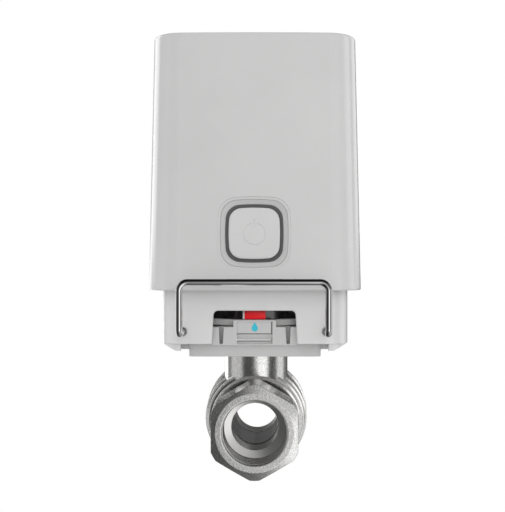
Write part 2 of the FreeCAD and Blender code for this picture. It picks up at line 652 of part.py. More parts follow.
def lower_housing():
    walls = rounded_box(BASE_HALF, BASE_HALF, BASE_CORNER, BASE_EDGE_Z, BASE_TOP)
    shape = fuse_all([base_pad(), walls])
    adapter_room = rounded_box(EAR_HALF_X + 0.25, BASE_PAD_FRONT + 0.2, 2.0, 20, DECK_BOTTOM)
    inner_half = BASE_HALF - BASE_WALL
    gear_room = rounded_box(inner_half, inner_half, BASE_CORNER - BASE_WALL, DECK_TOP, 60)
    side_pockets = [box(s * 24.5 - 1.0, s * 24.5 + 1.0, -18, 18, 27.5, DECK_TOP + 1) for s in (-1, 1)]
    clip_hole_r = CLIP_R + 0.1
    holes = [cyl_y(clip_hole_r, -BASE_HALF - 1, CLIP_TIP + 0.8, s * CLIP_X, CLIP_Z) for s in (-1, 1)]
    holes += [cyl_y(clip_hole_r + 0.25, -BASE_HALF - 1, -BASE_HALF + 0.9, s * (CLIP_X - 0.1), CLIP_Z + 0.1)
              for s in (-1, 1)]
    bush_hole = cyl(5.6, DECK_BOTTOM - 1, DECK_TOP + 1)
    axle_holes = [cyl(AXLE_R, DECK_TOP - 1.6, DECK_TOP + 1, *AXES[i]) for i in (1, 2, 3)]
    shape = cut_all(shape, [adapter_room, gear_room, bush_hole] + window_cutter()
                    + side_pockets + holes + axle_holes)
    posts = [cyl(POST_R, DECK_TOP - 0.5, PLATE2_BOTTOM, x, y) for x, y in POSTS]
    pilot = [cyl(1.1, PLATE2_BOTTOM - 8, PLATE2_BOTTOM + 1, x, y) for x, y in POSTS]
    return cut_all(fuse_all([shape] + posts), pilot)


def retaining_clip():
    """Spring-wire clip: two long prongs through the housing, and a handle that stands up in front."""
    foot_r, top_r = CLIP_FOOT_R, CLIP_SHOULDER_R
    half = CLIP_X
    arc_share = 1 - math.sqrt(0.5)
    path = []
    for s in (1, -1):
        tip = V(s * half, CLIP_TIP, CLIP_Z)
        foot_in = V(s * half, CLIP_FRONT + foot_r, CLIP_Z)
        corner = V(s * half, CLIP_FRONT + foot_r * arc_share, CLIP_Z + foot_r * arc_share)
        foot_out = V(s * half, CLIP_FRONT, CLIP_Z + foot_r)
        bend_in = V(s * half, CLIP_FRONT, CLIP_TOP - top_r)
        bend_mid = V(s * (half - top_r * arc_share), CLIP_FRONT, CLIP_TOP - top_r * arc_share)
        bend_out = V(s * (half - top_r), CLIP_FRONT, CLIP_TOP)
        side = [Part.makeLine(tip, foot_in), Part.Arc(foot_in, corner, foot_out).toShape(),
                Part.makeLine(foot_out, bend_in), Part.Arc(bend_in, bend_mid, bend_out).toShape()]
        if s == 1:
            path += side + [Part.makeLine(bend_out, V(-bend_out.x, bend_out.y, bend_out.z))]
        else:
            path += side[::-1]
    wire = Part.Wire(Part.sortEdges(path)[0])
    start = wire.OrderedVertexes[0].Point
    profile = Part.Wire([Part.Circle(start, Y_AXIS, CLIP_R).toShape()])
    return wire.makePipeShell([profile], True, False)


# ---------------------------------------------------------------- casing, button and light ring
CASING_SLOPE = math.atan((CASING_HALF_BOTTOM - CASING_HALF_TOP) / (CASING_TOP - CASING_BOTTOM))


def casing_half(z):
    return CASING_HALF_BOTTOM - (z - CASING_BOTTOM) * math.tan(CASING_SLOPE)


def on_front(shape):
    """Puts a shape built on local +Z, with local +Y upwards, on the casing's leaning front."""
    moved = shape.copy()
    tilt = Rotation(X_AXIS, 90 - math.degrees(CASING_SLOPE))
    moved.Placement = Placement(V(0, -casing_half(BUTTON_Z), BUTTON_Z), tilt).multiply(moved.Placement)
    return moved


def soft_square(half, z0, z1, corner=None):
    """A square button outline with bowed sides, as a prism on local +Z."""
    return bowed_prism(half, corner or half * 0.5, half * 6.5, z0, z1)


def casing_shell(bottom, top, inset):
    corner_bottom, corner_top = CASING_CORNER - inset * 0.9, CASING_CORNER - 0.6 - inset * 0.9
    return Part.makeLoft([bowed_wire(casing_half(bottom) - inset, corner_bottom, CASING_BOW_R, bottom),
                          bowed_wire(casing_half(top) - inset, corner_top, CASING_BOW_R, top)], True, True)


def casing():
    outer = casing_shell(CASING_BOTTOM, CASING_TOP, 0)
    outer = outer.makeFillet(0.8, edges_at_z(outer, CASING_TOP))
    outer = outer.makeFillet(0.4, edges_at_z(outer, CASING_BOTTOM))
    inner = casing_shell(CASING_BOTTOM - 1, CASING_TOP - CASING_WALL - 0.2, CASING_WALL)
    bow_r = RECESS_HALF * 6.5
    recess = Part.makeLoft([bowed_wire(RECESS_HALF, RECESS_HALF * 0.5, bow_r, 1.0),
                            bowed_wire(RECESS_HALF - 0.15, RECESS_HALF * 0.49, bow_r, -0.18)], True, True)
    recess = on_front(recess)
    ring_seat = on_front(soft_square(RING_HALF, -1.3, 1))
    opening = on_front(soft_square(SEAL_HALF, -4, 1))
    return cut_all(outer.cut(inner), [recess, ring_seat, opening])


def light_ring():
    """Frosted ring round the button; its face slopes down towards the button."""
    plate = Part.makeLoft([bowed_wire(RING_HALF - 0.03, RING_HALF * 0.5, RING_HALF * 6.5, -1.3),
                           bowed_wire(RING_HALF - 0.03, RING_HALF * 0.5, RING_HALF * 6.5, -0.22)], True, True)
    dish = Part.makeLoft([bowed_wire(RING_HALF - 0.1, RING_HALF * 0.5, RING_HALF * 6.5, -0.2),
                          bowed_wire(SEAL_HALF, SEAL_HALF * 0.5, SEAL_HALF * 6.5, -0.75)], True, True)
    return on_front(cut_all(plate, [dish, soft_square(SEAL_HALF, -3, 1)]))


def button_seal():
    """Dark elastic ring that fills the gap round the button and returns it after a press."""
    rim = soft_square(SEAL_HALF - 0.04, -2.6, -0.85)
    return on_front(rim.cut(soft_square(BUTTON_HALF + 0.12, -3, 1)))


def button_cap():
    """Button with rounded edges and a shallow engraved power symbol."""
    cap = soft_square(BUTTON_HALF, -3.2, 0.12)
    cap = cap.makeFillet(0.55, edges_at_z(cap, 0.12))
    depth, line = 0.1, 0.42
    arc_ring = ring(3.05 + line / 2, 3.05 - line / 2, 0.12 - depth, 1, 0, -0.3)
    gap = box(-0.95, 0.95, 1.2, 4.5, -1, 2)
    bar = box(-line / 2, line / 2, 1.45, 4.0, 0.12 - depth, 1)
    hollow = soft_square(BUTTON_HALF - 1.2, -4, -1.6)
    plunger = cyl(1.3, -3.08, -1.5)
    return on_front(cut_all(cap, [arc_ring.cut(gap), bar, hollow]).fuse(plunger))


def casing_gasket():
    z0, z1 = 41.4, 43.4
    outer = bowed_prism(casing_half(z1) - CASING_WALL - 0.1, CASING_CORNER - 1.4, CASING_BOW_R, z0, z1)
    return outer.cut(rounded_box(BASE_HALF, BASE_HALF, BASE_CORNER, z0 - 1, z1 + 1))


# ---------------------------------------------------------------- boards
BOARD_FRONT = -26.6
BOARD_BACK = -25.2


def main_board():
    board = box(-20.5, 20.5, BOARD_FRONT, BOARD_BACK, 46.5, 104.0)
    holes = [cyl_y(1.2, -30, -20, x, z) for x in (-17.5, 17.5) for z in (100.5,)]
    return cut_all(board, holes)


def tact_switch():
    body = box(-3.0, 3.0, BOARD_FRONT - 0.6, BOARD_FRONT, BUTTON_Z - 3.0, BUTTON_Z + 3.0)
    return body


def status_leds():
    spots = [(x, BUTTON_Z + dz) for x, dz in ((-8.9, 0), (8.9, 0), (0, 8.9), (0, -8.9))]
    return [box(x - 0.8, x + 0.8, BOARD_FRONT - 0.5, BOARD_FRONT, z - 0.8, z + 0.8) for x, z in spots]


def board_chips():
    """Radio module can, controller and power parts, on the board's rear face."""
    places = [(-9, 52), (8, 52), (-8, 66), (9, 67), (-14, 90)]
    sizes = [(13, 2.2, 10), (8, 1.2, 8), (6, 1.0, 6), (9, 1.6, 5), (5, 1.5, 3)]
    return [box(x - w / 2, x + w / 2, BOARD_BACK, BOARD_BACK + t, z - h / 2, z + h / 2)
            for (x, z), (w, t, h) in zip(places, sizes)]


def antenna():
    """Bent strip antenna standing on the board's top edge."""
    lower = box(-15, 15, BOARD_BACK, BOARD_BACK + 0.4, 104.6, 107.2)
    feet = [box(x - 0.9, x + 0.9, BOARD_BACK, BOARD_BACK + 0.4, 101.5, 105) for x in (-11, -6.5)]
    return fuse_all([lower] + feet)


def sensor_board():
    """Small board over the output gear whose two Hall sensors face the magnet's open and closed places."""
    return box(-19.0, 1.2, -3.0, 13.0, SENSOR_TOP, SENSOR_TOP + 1.0)


def hall_sensors():
    places = ((-MAGNET_PCR, 0.0), (-0.6, MAGNET_PCR))
    return [box(x - 1.5, x + 1.5, y - 1.5, y + 1.5, SENSOR_TOP - 1.0, SENSOR_TOP) for x, y in places]


# ---------------------------------------------------------------- gearbox plate and motor
def gearbox_plate():
    plate = rounded_box(PLATE2_HALF, PLATE2_HALF, 4.0, PLATE2_BOTTOM, PLATE2_TOP)
    corner_room = [cyl(1.3, 50, 60, x, y) for x, y in POSTS]
    axle_holes = [cyl(AXLE_R, 50, PLATE2_BOTTOM + 1.6, *AXES[i]) for i in (1, 2, 3)]
    motor_boss = cyl(2.2, 50, 60, MOTOR_X, MOTOR_Y)
    motor_screw_holes = [cyl(0.8, 50, 60, MOTOR_X + s * MOTOR_SCREW_X, MOTOR_Y) for s in (-1, 1)]
    ribs = [box(-PLATE2_HALF + 4, PLATE2_HALF - 4, y - 0.6, y + 0.6, PLATE2_TOP - 0.1, PLATE2_TOP + 1.2)
            for y in (2.0, 16.0)]
    hangers = [box(-18, -16, y - 1, y + 1, SENSOR_TOP + 1.0, PLATE2_BOTTOM + 0.1) for y in (-1.0, 11.0)]
    shape = fuse_all([plate] + ribs + hangers)
    return cut_all(shape, corner_room + axle_holes + [motor_boss] + motor_screw_holes)


def gearbox_screws():
    screws = []
    for x, y in POSTS:
        head = cyl(2.2, PLATE2_TOP, PLATE2_TOP + 1.3, x, y)
        shank = cyl(1.08, PLATE2_TOP - 7.5, PLATE2_TOP + 0.1, x, y)
        cross = [box(x - 1.1, x + 1.1, y - 0.25, y + 0.25, PLATE2_TOP + 0.7, 60),
                 box(x - 0.25, x + 0.25, y - 1.1, y + 1.1, PLATE2_TOP + 0.7, 60)]
        screws.append(cut_all(head.fuse(shank), cross))
    return screws




def motor_section(z0, z1, r=MOTOR_R, flat=MOTOR_FLAT):
    return cyl(r, z0, z1, MOTOR_X, MOTOR_Y).common(
        box(MOTOR_X - r - 1, MOTOR_X + r + 1, MOTOR_Y - flat, MOTOR_Y + flat, z0, z1))


def motor_can():
    can = motor_section(PLATE2_TOP, MOTOR_TOP - 2.4)
    boss = cyl(2.15, PLATE2_TOP - 0.8, PLATE2_TOP + 0.1, MOTOR_X, MOTOR_Y)
    inside = motor_section(PLATE2_TOP + 0.8, MOTOR_TOP, MOTOR_R - 0.7, MOTOR_FLAT - 0.7)
    bore = cyl(0.85, 50, 80, MOTOR_X, MOTOR_Y)
    screw_holes = [cyl(0.75, 50, PLATE2_TOP + 1, MOTOR_X + s * MOTOR_SCREW_X, MOTOR_Y) for s in (-1, 1)]
    return cut_all(can.fuse(boss), [inside, bore] + screw_holes)


def motor_end_cap():
    cap = motor_section(MOTOR_TOP - 2.4, MOTOR_TOP - 0.8)
    boss = cyl(2.4, MOTOR_TOP - 1, MOTOR_TOP, MOTOR_X, MOTOR_Y)
    return cap.fuse(boss).cut(cyl(0.8, 50, MOTOR_TOP - 0.4, MOTOR_X, MOTOR_Y))


def motor_rotor():
    """Shaft with the three-pole armature pack on it."""
    shaft = cyl(0.75, STAGES[3]["z0"] - 0.6, MOTOR_TOP - 0.6, MOTOR_X, MOTOR_Y)
    armature = cyl(3.4, PLATE2_TOP + 2.2, MOTOR_TOP - 4.6, MOTOR_X, MOTOR_Y)
    slots = [box(MOTOR_X - 0.5, MOTOR_X + 0.5, MOTOR_Y + 1.6, MOTOR_Y + 4, PLATE2_TOP + 2, MOTOR_TOP - 4)]
    slots = [s.copy() for s in slots for _ in range(3)]
    for i, slot in enumerate(slots):
        slot.rotate(V(MOTOR_X, MOTOR_Y, 0), Z_AXIS, 120 * i)
    commutator = cyl(1.5, MOTOR_TOP - 4.7, MOTOR_TOP - 2.7, MOTOR_X, MOTOR_Y)
    return fuse_all([shaft, cut_all(armature, slots), commutator])


def motor_magnets():
    z0, z1 = PLATE2_TOP + 2.0, MOTOR_TOP - 4.0
    tube = ring(4.28, 3.6, z0, z1, MOTOR_X, MOTOR_Y)
    return [tube.common(box(MOTOR_X + s * 3 - 3 + 0.6 * s, MOTOR_X + s * 3 + 3 + 0.6 * s,
                            MOTOR_Y - 5, MOTOR_Y + 5, z0, z1)) for s in (-1, 1)]


def motor_pinion():
    pinion = pinion_of(3, PINION_PHASE[4], STAGES[3]["z1"] + 0.4)
    return pinion.cut(cyl(0.75, 40, 60, MOTOR_X, MOTOR_Y))


def motor_screws():
    screws = []
    for x in (MOTOR_X - MOTOR_SCREW_X, MOTOR_X + MOTOR_SCREW_X):
        shank = cyl(0.72, PLATE2_BOTTOM - 0.1, PLATE2_TOP + 0.8, x, MOTOR_Y)
        screws.append(fuse_all([shank, cyl(1.3, PLATE2_BOTTOM - 0.8, PLATE2_BOTTOM, x, MOTOR_Y)]))
    return screws


def wire_through(points, r, bend):
    """A round lead through a list of points, with its corners bent round."""
    edges, last = [], points[0]
    for i in range(1, len(points) - 1):
        a, b, c = points[i - 1], points[i], points[i + 1]
        u, w = (a - b).normalize(), (c - b).normalize()
        start, end = b + u * bend, b + w * bend
        inward = (u + w).normalize()
        half = u.getAngle(w) / 2
        arc_r = bend * math.tan(half)
        mid = b + inward * (bend / math.cos(half) - arc_r)
        edges += [Part.makeLine(last, start), Part.Arc(start, mid, end).toShape()]
        last = end
    edges.append(Part.makeLine(last, points[-1]))
    wire = Part.Wire(edges)
    profile = Part.Wire([Part.Circle(points[0], (points[1] - points[0]), r).toShape()])
    return wire.makePipeShell([profile], True, False)


def motor_leads():
    leads = []
    for s in (-1, 1):
        x = MOTOR_X + s * 4.4
        leads.append(wire_through([V(x, MOTOR_Y, MOTOR_TOP - 0.8), V(x, MOTOR_Y, MOTOR_TOP + 0.8),
                                   V(x, -21.0, MOTOR_TOP + 0.8), V(x, -21.0, 62.0),
                                   V(x, BOARD_BACK, 62.0)], 0.5, 0.9))
    return leads


# ---------------------------------------------------------------- batteries
CELLS = [(sx * CELL_PITCH / 2, CELL_CENTRE_Y + sy * CELL_PITCH / 2) for sx in (-1, 1) for sy in (-1, 1)]
CELL_TOP = CELL_BOTTOM + CELL_LENGTH


def tray_box(half_x, half_y, r, z0, z1):
    shape = rounded_box(half_x, half_y, r, z0, z1)
    shape.translate(V(0, CELL_CENTRE_Y, 0))
    return shape


def battery_tray():
    outer = tray_box(TRAY_HALF_X, TRAY_HALF_Y, 5.0, TRAY_FLOOR, TRAY_TOP)
    wells = [cyl(CELL_R + 0.25, TRAY_FLOOR + 1.4, 120, x, y) for x, y in CELLS]
    core = tray_box(7.5, 7.5, 2.0, TRAY_FLOOR + 1.4, 120)
    side_windows = [box(-25, 25, y - 4.5, y + 4.5, 79, 92) for _, y in CELLS[:2]]
    front_windows = [box(x - 4.5, x + 4.5, -30, 40, 79, 92) for x in (CELLS[0][0], CELLS[2][0])]
    legs = [cyl(POST_R, PLATE2_TOP + 1.3, TRAY_FLOOR + 0.1, x, y) for x, y in TRAY_LEGS]
    shape = cut_all(outer, wells + [core] + side_windows + front_windows)
    arms = [box(x - 1.6, x + 1.6, min(y, sy * 13), max(y, sy * 13), TRAY_FLOOR, TRAY_FLOOR + 1.4)
            for (x, y), sy in zip(TRAY_LEGS, (1, 1, -1, -1))]
    arms += [box(min(x, sx * 13), max(x, sx * 13), sy * 13 - 1.6, sy * 13 + 1.6, TRAY_FLOOR, TRAY_FLOOR + 1.4)
             for (x, y), sx, sy in zip(TRAY_LEGS, (-1, 1, -1, 1), (1, 1, -1, -1))]
    return fuse_all([shape] + legs + arms)


TRAY_LEGS = [(-20.0, 20.0), (21.5, 21.5), (-20.0, -20.0), (21.0, -20.5)]


def batteries():
    cells = []
    for x, y in CELLS:
        can = cyl(CELL_R, CELL_BOTTOM, CELL_TOP - 1.2, x, y)
        can = can.makeFillet(0.6, [e for e in can.Edges if e.BoundBox.ZLength < 1e-6])
        cells.append(can.fuse(cyl(3.1, CELL_TOP - 1.3, CELL_TOP, x, y)).removeSplitter())
    return cells


def lower_contacts():
    """Sprung strips under the cells: a flat foot and a raised tongue that presses on the cell."""
    thick, rise, width = 0.3, CELL_BOTTOM - TRAY_FLOOR - 1.4, 5.0
    outline = [(-4.5, 0), (4.5, 0), (4.5, thick), (3.2, thick), (1.4, rise), (-1.4, rise),
               (-1.4, rise - thick), (1.1, rise - thick), (2.6, thick), (-4.5, thick)]
    strips = []
    for x, y in CELLS:
        points = [V(x + px, y - width / 2, TRAY_FLOOR + 1.4 + pz) for px, pz in outline]
        face = Part.Face(Part.makePolygon(points + points[:1]))
        strips.append(face.extrude(V(0, width, 0)))
    return strips


def upper_contacts():
    """Nickel strips that join the cells in pairs."""
    strips = []
    for sx in (-1, 1):
        x = sx * CELL_PITCH / 2
        strips.append(box(x - 3.2, x + 3.2, CELL_CENTRE_Y - 13, CELL_CENTRE_Y + 13, CELL_TOP, CELL_TOP + 0.4))
    return strips


def battery_retainer():
    """Lid over the cells, with a hub between them and an arm down each side of the tray."""
    bottom, top = CELL_TOP + 0.4, CELL_TOP + 1.6
    y0, y1 = CELL_CENTRE_Y - 2.2, CELL_CENTRE_Y + 2.2
    lid = tray_box(15.5, 15.5, 3.0, bottom, top)
    hub = box(-2.6, 2.6, CELL_CENTRE_Y - 2.6, CELL_CENTRE_Y + 2.6, TRAY_TOP, CELL_TOP + 0.5)
    tabs = [box(s * TRAY_HALF_X - 0.9, s * TRAY_HALF_X + 0.9, y0, y1, TRAY_TOP, top) for s in (-1, 1)]
    bridge = box(-TRAY_HALF_X, TRAY_HALF_X, y0, y1, bottom, top)
    return fuse_all([lid, hub, bridge] + tabs)


# ---------------------------------------------------------------- write every node
NODES = [
    valve_body, end_connector, valve_ball, ball_seats, valve_stem, stem_seals, gland_nut, body_gasket,
    valve_adapter, adapter_nut, drop_mark,
    stem_coupler, coupler_screw, indicator_drum, output_shaft, output_bush, output_gear, shaft_clip,
    sensor_magnet, gear_axles, axle_spacers,
    motor_pinion, motor_rotor, motor_can, motor_end_cap, motor_magnets, motor_screws, motor_leads,
    gearbox_plate, gearbox_screws, lower_housing, retaining_clip,
    casing, casing_gasket, light_ring, button_seal, button_cap,
    main_board, tact_switch, status_leds, board_chips, antenna, sensor_board, hall_sensors,
    battery_tray, batteries, lower_contacts, upper_contacts, battery_retainer,
]


def main():
    os.makedirs(OUT, exist_ok=True)
    for build in NODES:
        made = build()
        save(build.__name__, *(made if isinstance(made, list) else [made]))
    for i in (1, 2, 3):
        save("compound_gear_%d" % i, compound_gear(i))
    for name, mark in zip(("open_mark", "mark_border", "closed_mark"), mark_pockets()):
        save(name, mark)


main()
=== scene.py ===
import json
import math
import random

import bmesh
import bpy
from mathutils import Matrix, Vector


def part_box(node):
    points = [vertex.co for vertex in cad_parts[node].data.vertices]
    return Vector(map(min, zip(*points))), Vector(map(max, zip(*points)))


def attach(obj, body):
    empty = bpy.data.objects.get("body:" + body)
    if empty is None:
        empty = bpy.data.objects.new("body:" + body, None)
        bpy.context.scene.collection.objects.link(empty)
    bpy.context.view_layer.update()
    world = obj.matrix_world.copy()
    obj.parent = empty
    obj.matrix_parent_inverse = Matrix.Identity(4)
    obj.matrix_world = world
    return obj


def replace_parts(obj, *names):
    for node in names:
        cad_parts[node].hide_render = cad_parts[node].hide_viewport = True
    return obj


MM = 0.001
UM = 0.000001
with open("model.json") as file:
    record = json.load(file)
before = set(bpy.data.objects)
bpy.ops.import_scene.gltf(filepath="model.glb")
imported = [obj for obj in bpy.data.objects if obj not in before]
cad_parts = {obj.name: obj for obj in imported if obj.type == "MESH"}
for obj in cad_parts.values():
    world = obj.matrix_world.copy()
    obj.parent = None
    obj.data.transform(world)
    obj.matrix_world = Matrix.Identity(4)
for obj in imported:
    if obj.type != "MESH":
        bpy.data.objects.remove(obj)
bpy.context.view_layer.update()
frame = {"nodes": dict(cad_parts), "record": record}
NODES = frame["nodes"]
scene = bpy.context.scene
random.seed(7)


# ---------------------------------------------------------------- material graphs
class Graph:
    """Adds nodes to a tree. Values may be numbers, colours or sockets."""

    def __init__(self, tree):
        self.tree = tree

    def node(self, kind, **settings):
        made = self.tree.nodes.new(kind)
        for key, value in settings.items():
            setattr(made, key, value)
        return made

    def put(self, socket, value):
        if isinstance(value, bpy.types.NodeSocket):
            self.tree.links.new(value, socket)
        else:
            socket.default_value = value

    def math(self, operation, a, b=0.0):
        made = self.node("ShaderNodeMath", operation=operation)
        self.put(made.inputs[0], a)
        self.put(made.inputs[1], b)
        return made.outputs[0]

    def product(self, a, b):
        return self.math("MULTIPLY", a, b)

    def span(self, fac, low, high, start=0.3, end=0.7):
        """Low where fac is at start, high where it is at end, clamped beyond both."""
        made = self.node("ShaderNodeMapRange")
        self.put(made.inputs["Value"], fac)
        made.inputs["From Min"].default_value = start
        made.inputs["From Max"].default_value = end
        made.inputs["To Min"].default_value = low
        made.inputs["To Max"].default_value = high
        return made.outputs["Result"]

    def blend(self, fac, a, b, kind="MIX"):
        """Colour a where fac is 0, colour b where it is 1."""
        made = self.node("ShaderNodeMix", data_type="RGBA", blend_type=kind)
        self.put(made.inputs[0], fac)
        self.put(made.inputs[6], a)
        self.put(made.inputs[7], b)
        return made.outputs[2]

    def ramp(self, fac, stops):
        """Linear ramp through (place, shade) stops in rising order."""
        made = self.node("ShaderNodeValToRGB")
        elements = made.color_ramp.elements
        elements.remove(elements[1])
        for i, (place, shade) in enumerate(stops):
            element = elements.new(place) if i else elements[0]
            element.position = place
            element.color = rgb(shade)
        self.put(made.inputs["Fac"], fac)
        return made.outputs["Color"]

    def split(self, vector):
        """The x, y and z outputs of a vector."""
        made = self.node("ShaderNodeSeparateXYZ")
        self.put(made.inputs[0], vector)
        return made.outputs


class Surface(Graph):
    """A material. Its Object coordinates are the row frame in metres."""

    def __init__(self, name):
        self.mat = bpy.data.materials.new(name)
        self.mat.use_nodes = True
        super().__init__(self.mat.node_tree)
        self.bsdf = self.tree.nodes["Principled BSDF"]
        self.coords = self.node("ShaderNodeTexCoord").outputs["Object"]

    def stretched(self, sx, sy, sz):
        """Coordinates for noise that is drawn out along the axis with the smallest factor."""
        made = self.node("ShaderNodeMapping")
        self.put(made.inputs["Vector"], self.coords)
        made.inputs["Scale"].default_value = (sx, sy, sz)
        return made.outputs[0]

    def noise(self, size, detail=2.0, rough=0.5, coords=None):
        """Noise whose features are about size metres across."""
        made = self.node("ShaderNodeTexNoise")
        self.put(made.inputs["Vector"], coords or self.coords)
        made.inputs["Scale"].default_value = 1.0 / size
        made.inputs["Detail"].default_value = detail
        made.inputs["Roughness"].default_value = rough
        return made.outputs["Fac"]

    def bevel(self, radius):
        made = self.node("ShaderNodeBevel", samples=6)
        made.inputs["Radius"].default_value = radius
        return made.outputs["Normal"]

    def bump(self, height, depth, normal=None):
        """Bump whose full height is depth metres."""
        made = self.node("ShaderNodeBump")
        made.inputs["Distance"].default_value = depth
        self.put(made.inputs["Height"], height)
        if normal is not None:
            self.put(made.inputs["Normal"], normal)
        return made.outputs["Normal"]

    def edge(self, radius):
        """1 along sharp edges, 0 on flat faces."""
        made = self.node("ShaderNodeVectorMath", operation="DOT_PRODUCT")
        self.put(made.inputs[0], self.bevel(radius))
        self.put(made.inputs[1], self.node("ShaderNodeNewGeometry").outputs["Normal"])
        return self.span(made.outputs["Value"], 1.0, 0.0, 0.80, 0.985)

    def crevice_shade(self, reach, darkest):
        """Painted shade: 1 on open surfaces, falling to darkest where the surface is closed in within reach
        metres.
        """
        made = self.node("ShaderNodeAmbientOcclusion", samples=8)
        made.inputs["Distance"].default_value = reach
        return self.span(made.outputs["AO"], darkest, 1.0, 0.30, 0.85)

    def bore(self, radius):
        """0 inside radius metres of the pipe axis, 1 outside it."""
        x, _, z = self.split(self.coords)
        square = self.math("ADD", self.product(x, x), self.product(z, z))
        return self.span(self.math("SQRT", square), 0.0, 1.0, radius, radius * 1.02)

    def painted_card_reflection(self, darkest):
        """Painted reflection: 1 all round a wire, falling to darkest on its front-left and front-top sides,
        painted as if a black card stood there.
        """
        x, y, z = self.split(self.node("ShaderNodeNewGeometry").outputs["Normal"])
        left = self.product(self.span(x, 0.0, 1.0, -0.08, -0.26), self.span(x, 1.0, 0.0, -0.70, -0.88))
        above = self.product(self.span(z, 0.0, 1.0, -0.02, 0.16), self.span(z, 1.0, 0.0, 0.85, 0.97))
        in_front = self.span(y, 1.0, 0.0, -0.45, -0.15)
        card_reflection_mask = self.product(self.math("MAXIMUM", left, above), in_front)
        return self.span(card_reflection_mask, 1.0, darkest, 0.0, 1.0)

    def set(self, **inputs):
        for key, value in inputs.items():
            self.put(self.bsdf.inputs[key.replace("_", " ")], value)
        return self.mat


def rgb(shade):
    """A grey or an (r, g, b) shade as a colour."""
    return (*shade, 1.0) if isinstance(shade, tuple) else (shade, shade, shade, 1.0)


def scaled(shade, k):
    """A shade made k times as bright, as a colour."""
    return tuple(min(1.0, c * k) for c in rgb(shade)[:3]) + (1.0,)


# Grain is the size of the bump's features, depth its height and edge_r the radius that edges are shaded with,
# all in metres.
PAINTED_EDGE_REACH = 1.4          # the band of painted edge light, as a multiple of the edge radius
ROUGH_SPREAD = 0.04            # how far a plastic's roughness wanders
COAT_ROUGH = 0.03


def plastic(name, shade, rough=0.32, grain=180 * UM, depth=3 * UM, mottle=0.02, edge_r=300 * UM, painted_edge=0.04,
            coat=0.0, rim=1.25):
    """Moulded plastic: fine grain, faint clouding, and edges painted rim times as bright by the share
    painted_edge: a painted highlight where rim is above 1, painted shade where it is below.
    """
    g = Surface(name)
    tone = g.span(g.noise(0.018, 3.0), 0.0, 1.0)
    colour = g.blend(tone, scaled(shade, 1 - mottle), scaled(shade, 1 + mottle))
    # Painted edge light: a band along the edges is painted rim times as bright.
    if painted_edge:
        painted_edge_mask = g.product(g.edge(edge_r * PAINTED_EDGE_REACH), painted_edge)
        colour = g.blend(painted_edge_mask, colour, scaled(shade, rim))
    height = g.noise(grain, 3.0, 0.6)
    normal = g.bump(height, depth, g.bevel(edge_r) if edge_r else None)
    wander = g.span(g.noise(0.012, 2.0), rough, rough + ROUGH_SPREAD)
    roughness = g.math("ADD", wander, g.product(height, 0.03))
    return g.set(Base_Color=colour, Roughness=roughness, Normal=normal, Coat_Weight=coat,
                 Coat_Roughness=COAT_ROUGH)


MACHINED_R = 0.0096            # the bore is smooth inside this radius
MACHINED_ROUGH = 0.29
NECK_Z = 0.0128                # the valve's neck starts here and gets no painted crevice shade
GAP_REACH = 0.0035             # narrow gaps and wide corners, both painted darker as shade
CORNER_REACH = 0.009
FLECK_SIZE = 0.00036


def metal(name, shade, rough=0.25, grain=300 * UM, depth=6 * UM, streak=None, edge_r=250 * UM, mottle=0.05,
          speckle=0.0, crevice_shade=1.0, painted_card_reflection=1.0, pipe=False):
    """Bare or plated metal. A pipe is cast outside and machined smooth inside its bore."""
    g = Surface(name)
    coords = g.stretched(*streak) if streak else None
    tone = g.span(g.noise(0.006, 4.0), 0.0, 1.0)
    colour = g.blend(tone, scaled(shade, 1 - mottle), scaled(shade, 1 + mottle))
    cast = g.bore(MACHINED_R) if pipe else 1.0
    if speckle:
        fleck = g.span(g.noise(FLECK_SIZE, 1.5, 0.7), -speckle, speckle, 0.30, 0.70)
        colour = g.blend(1.0, colour, g.math("ADD", g.product(fleck, cast), 1.0), "MULTIPLY")
    # Painted shade: gaps and corners below the neck are painted darker from ambient occlusion.
    if crevice_shade < 1.0:
        painted_crevice_shade = g.product(g.crevice_shade(GAP_REACH, crevice_shade), g.crevice_shade(CORNER_REACH, crevice_shade * 0.6))
        below_neck = g.span(g.split(g.coords)[2], 1.0, 0.0, NECK_Z - 0.001, NECK_Z + 0.001)
        where = g.product(cast, below_neck)
        colour = g.blend(1.0, colour, g.blend(where, rgb(1.0), painted_crevice_shade), "MULTIPLY")
    # Painted reflection: the wire's front-left and front-top sides are painted dark, as a black card would
    # mirror.
    if painted_card_reflection < 1.0:
        colour = g.blend(1.0, colour, g.painted_card_reflection(painted_card_reflection), "MULTIPLY")
    height = g.product(g.noise(grain, 2.0, 0.6, coords), cast)
    normal = g.bump(height, depth, g.bevel(edge_r) if edge_r else None)
    uneven = g.span(g.noise(0.002, 5.0, 0.6), rough * 0.85, rough * 1.2)
    above_machined = g.product(g.math("SUBTRACT", uneven, MACHINED_ROUGH), cast)
    roughness = g.math("ADD", above_machined, MACHINED_ROUGH)
    return g.set(Base_Color=colour, Metallic=1.0, Roughness=roughness, Normal=normal)


